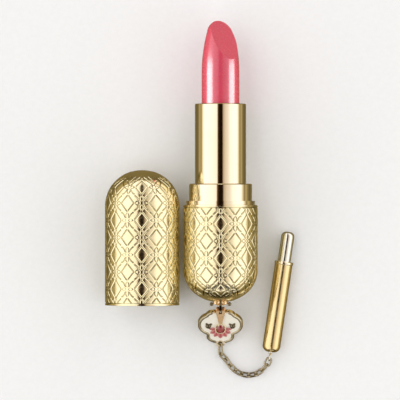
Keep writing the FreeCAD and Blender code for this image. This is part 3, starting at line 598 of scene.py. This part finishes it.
# ---------------------------------------------------------------------------------------------
# Charm: cut stone in its claws, lotus petals with their stems, and a knot of beads on each side
# ---------------------------------------------------------------------------------------------
ENAMEL_TOP = 0.6
STONE_MIDDLE = (0.0, -7.8)
STONE_HALF = (1.4, 1.8)
# Petals in pairs: base, direction from straight down in degrees, length, half width, rise
PETALS = [
    ((1.70, -8.05), 90, 1.60, 0.48, 0.30), ((0.85, -9.40), 27, 2.40, 0.74, 0.40),
    ((1.45, -8.85), 58, 2.10, 0.66, 0.38), ((0.0, -9.70), 0, 2.50, 0.80, 0.48)]
STEM = [(2.6, -8.15, 0.66), (3.0, -8.2, 0.82), (3.4, -7.95, 0.80), (3.7, -7.6, 0.66)]
KNOT = [((3.80, -6.95), 0.92, 0.72), ((3.00, -6.10), 0.42, 0.40), ((4.35, -5.95), 0.40, 0.38)]
# The bead along the charm's rim leaves room for the strap at the top and the link at the foot
RIM_WIDTH = 0.92
RIM_RISE = 0.34
RIM_TOP_GAP = 2.3
RIM_FOOT_GAP = 1.5
RIM_SIDES = 9
CHARM_MIDDLE = Vector((0, -8.1, 0.3))
CHARM_REACH = 20
# Levels of the cut stone: share of its half size, height, corners, and turn in steps
STONE_CUT = [(0.56, 1.62, 8, 0.0), (0.82, 1.38, 8, 0.5), (1.0, 1.08, 16, 0.0), (1.0, 0.98, 16, 0.0),
             (0.6, 0.78, 16, 0.0)]
CLAWS = 8
CLAW_PATH = [(1.17, 0.62), (1.15, 1.05), (1.03, 1.30), (0.90, 1.42)]


def joint(name):
    return next(j for j in frame["joints"] if j["name"] == name)


def charm_frame():
    """Turns a place on the charm, in mm from the bail pin, into the row frame."""
    origin = Vector(joint("bail_swing")["pos_m"])
    out = Vector(joint("charm_turn")["axis"]).normalized()
    side = Vector((1.0, 0.0, 0.0))
    up = out.cross(side)
    turn = Matrix((side, up, out)).transposed().to_4x4()
    return Matrix.Translation(origin) @ turn @ Matrix.Scale(MM, 4)


def on_charm(points):
    place = charm_frame()
    return [place @ Vector(p) for p in points]


def add_petal(points, faces, shades, base, angle, length, half, rise):
    """One closed leaf: a crowned top with a rolled edge over a flat foot."""
    along, across = 12, 9
    turn = math.radians(angle)
    run = (math.sin(turn), -math.cos(turn))
    side = (run[1], -run[0])
    first = len(points)
    for layer in (1, 0):
        for i in range(along + 1):
            u = i / along
            wide = half * max(math.sin(math.pi * (0.12 + 0.88 * u) ** 0.85), 0.02) ** 0.85
            for j in range(across):
                v = 2 * j / (across - 1) - 1
                crown = math.sin(math.pi * (0.15 + 0.80 * u)) * rise
                lip = 0.35 * rise * abs(v) ** 3 - 0.25 * rise * (1 - min(abs(v) * 4, 1))
                top = ENAMEL_TOP + 0.06 + crown * (1 - 0.45 * v * v) + lip
                points.append((base[0] + run[0] * length * u + side[0] * wide * v,
                               base[1] + run[1] * length * u + side[1] * wide * v,
                               top if layer else ENAMEL_TOP - 0.05))
                shades.append(0.25 + 0.75 * max(abs(v), u ** 2) if layer else 0.5)
    rows = across * (along + 1)
    for i in range(along):
        for j in range(across - 1):
            a = first + i * across + j
            faces.append((a, a + across, a + across + 1, a + 1))
            faces.append((a + rows, a + rows + 1, a + rows + across + 1, a + rows + across))
    rim = [first + j for j in range(across)]
    rim += [first + i * across + across - 1 for i in range(1, along + 1)]
    rim += [first + along * across + j for j in range(across - 2, -1, -1)]
    rim += [first + i * across for i in range(along - 1, 0, -1)]
    for a, b in zip(rim, rim[1:] + rim[:1]):
        faces.append((a, b, b + rows, a + rows))


def add_tube(points, faces, path, radius, sides=8):
    """A closed tube with rounded ends along a smooth line through the path."""
    knots = [Vector(p) for p in path]
    line = []
    for i in range(len(knots) - 1):
        a, b = knots[max(i - 1, 0)], knots[min(i + 2, len(knots) - 1)]
        for k in range(6):
            s = k / 6
            line.append(0.5 * ((2 * knots[i]) + (knots[i + 1] - a) * s
                               + (2 * a - 5 * knots[i] + 4 * knots[i + 1] - b) * s ** 2
                               + (3 * knots[i] - 3 * knots[i + 1] + b - a) * s ** 3))
    line.append(knots[-1])
    first = len(points)
    for i, spot in enumerate(line):
        run = (line[min(i + 1, len(line) - 1)] - line[max(i - 1, 0)]).normalized()
        side = run.cross(Vector((0, 0, 1))).normalized()
        up = side.cross(run)
        end = min(i, len(line) - 1 - i)
        thick = radius * (0.55, 0.9, 1.0)[min(end, 2)]
        for k in range(sides):
            turn = 2 * math.pi * k / sides
            points.append(tuple(spot + (side * math.cos(turn) + up * math.sin(turn)) * thick))
    faces += capped_rings(len(line), sides, first)


def add_dome(points, faces, middle, radius, height, foot, rings=7, sides=24):
    """A closed bead: a round top on a short straight foot."""
    first = len(points)
    for i in range(rings):
        turn = math.pi / 2 * i / rings
        for k in range(sides):
            spin = 2 * math.pi * k / sides
            points.append((middle[0] + radius * math.cos(turn) * math.cos(spin),
                           middle[1] + radius * math.cos(turn) * math.sin(spin),
                           foot + (height * math.sin(turn) if i else 0.0)))
    faces += ring_faces(rings, sides, first)
    points.append((middle[0], middle[1], foot + height))
    tip = len(points) - 1
    last = first + (rings - 1) * sides
    faces += [(last + k, last + (k + 1) % sides, tip) for k in range(sides)]
    faces.append(tuple(first + k for k in range(sides - 1, -1, -1)))


def charm_outline():
    """The tray's outer edge in the charm's plane, right half, from the top down."""
    back = charm_frame().inverted()
    tray = nodes["charm_tray"].data
    tree = BVHTree.FromPolygons([back @ v.co for v in tray.vertices],
                                [tuple(f.vertices) for f in tray.polygons])
    line = []
    for k in range(121):
        turn = math.radians(90 - 1.5 * k)
        run = Vector((math.cos(turn), math.sin(turn), 0))
        line.append(tree.ray_cast(CHARM_MIDDLE + run * CHARM_REACH, -run)[0])
    return line


def add_rim(points, faces, sign):
    """A closed, crowned bead along one half of the tray's rim."""
    line = [p for p in charm_outline() if p.x > (RIM_TOP_GAP if p.y > CHARM_MIDDLE.y else RIM_FOOT_GAP)]
    first = len(points)
    for i, spot in enumerate(line):
        run = (line[min(i + 1, len(line) - 1)] - line[max(i - 1, 0)]).normalized()
        inward = Vector((run.y, -run.x, 0))
        inward = inward if inward.dot(CHARM_MIDDLE - spot) > 0 else -inward
        end = min(i, len(line) - 1 - i)
        full = (0.35, 0.75, 1.0)[min(end, 2)]
        for k in range(RIM_SIDES):
            turn = math.pi * k / (RIM_SIDES - 1)
            away = 0.03 + RIM_WIDTH / 2 * (1 - full * math.cos(turn))
            rise = RIM_RISE * full * math.sin(turn)
            points.append((sign * (spot.x + inward.x * away), spot.y + inward.y * away,
                           ENAMEL_TOP - 0.02 + rise))
    faces += capped_rings(len(line), RIM_SIDES, first)


def add_lotus():
    points, faces, shades = [], [], []
    for base, angle, length, half, rise in PETALS:
        for sign in ((1, -1) if base[0] else (1,)):
            add_petal(points, faces, shades, (sign * base[0], base[1]), sign * angle, length, half, rise)
    for sign in (1, -1):
        add_tube(points, faces, [(sign * x, y, z) for x, y, z in STEM], 0.17)
    shades += [0.5] * (len(points) - len(shades))
    add_rounded("lotus_petals", on_charm(points), faces, "charm", "rose_enamel", "lotus_scroll",
                values=("shade", shades))


def add_rim_bead():
    points, faces = [], []
    for sign in (1, -1):
        add_rim(points, faces, sign)
    add_rounded("charm_rim_bead", on_charm(points), faces, "charm", "chain_gold")


def add_knots():
    points, faces = [], []
    for (x, y), radius, height in KNOT:
        for sign in (1, -1):
            add_dome(points, faces, (sign * x, y), radius, height, ENAMEL_TOP - 0.03)
    add_rounded("bead_knots", on_charm(points), faces, "charm", "dark_bronze", "side_beads")


def on_stone(turn, share, level):
    return (STONE_MIDDLE[0] + STONE_HALF[0] * share * math.cos(turn),
            STONE_MIDDLE[1] + STONE_HALF[1] * share * math.sin(turn), level)


def add_stone():
    cut = bmesh.new()
    for share, level, count, shift in STONE_CUT:
        for k in range(count):
            cut.verts.new(on_stone(2 * math.pi * (k + shift) / count, share, level))
    bmesh.ops.convex_hull(cut, input=cut.verts)
    bmesh.ops.transform(cut, matrix=charm_frame(), verts=cut.verts)
    mesh = bpy.data.meshes.new("cut_stone")
    cut.to_mesh(mesh)
    cut.free()
    add_piece("cut_stone", mesh, "charm", "red_stone", "gem")

    points, faces = [], []
    for k in range(CLAWS):
        turn = 2 * math.pi * (k + 0.5) / CLAWS
        add_tube(points, faces, [on_stone(turn, share, level) for share, level in CLAW_PATH], 0.13, 6)
    add_rounded("stone_claws", on_charm(points), faces, "charm", "polished_gold")


# ---------------------------------------------------------------------------------------------
# Brush
# ---------------------------------------------------------------------------------------------
HAIRS = 150
HAIR_LENGTH = 7.5
HAIR_RADIUS = 0.055
# Along the hair and away from the tuft's middle, in mm at the tuft's edge; the tips vary
HAIR_PATH = [(0.0, 0.80), (0.28, 0.82), (0.55, 1.02), (0.80, 0.78)]


def add_brush_hairs():
    """The lip brush's tuft as separate filaments inside the space of the solid tuft."""
    low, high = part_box("brush_bristles")
    pull = Vector(joint("brush_cap_pull")["axis"]).normalized()
    side = pull.cross(Vector((0, 0, 1))).normalized()
    up = side.cross(pull)
    foot = (low + high) / 2 - pull * (HAIR_LENGTH / 2) * MM
    points, faces = [], []
    for k in range(HAIRS):
        edge = math.sqrt((k + 0.5) / HAIRS)
        turn = k * math.pi * (3 - math.sqrt(5))
        outward = side * math.cos(turn) + up * math.sin(turn)
        path = []
        for share, reach in HAIR_PATH + [(1.0, 0.16 + 0.1 * (k % 3))]:
            tall = HAIR_LENGTH * share * (1.0 - 0.10 * edge * share)
            path.append(foot / MM + pull * tall + outward * reach * edge)
        add_tube(points, faces, path, HAIR_RADIUS, 4)
    add_rounded("brush_hairs", [Vector(p) * MM for p in points], faces, "brush", "nylon", "brush_bristles")


add_camera()
add_studio()
add_strips()
add_fill(add_floor())
MATERIALS = make_materials()
scene.view_settings.view_transform = "Standard"

for part in frame["record"]["subparts"]:
    mesh = nodes[part["node"]].data
    mesh.materials.clear()
    mesh.materials.append(MATERIALS[part["material_slot"]])

base_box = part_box("base_shell")
cap_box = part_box("cap_shell")
relief_shell("base_relief", "base_shell", "case", axis_x=0.0, mouth_y=base_box[1].y, direction=-1,
             straight=20.0, depth=10.2, end_radius=13.0, first_row=5.5, band=0.35, hole=0.95)
relief_shell("cap_relief", "cap_shell", "cap", axis_x=(cap_box[0].x + cap_box[1].x) / 2,
             mouth_y=cap_box[0].y, direction=1,
             straight=31.0, depth=11.3, end_radius=12.5, first_row=5.2, band=0.6, hole=0.02)
add_lotus()
add_rim_bead()
add_knots()
add_stone()
add_brush_hairs()
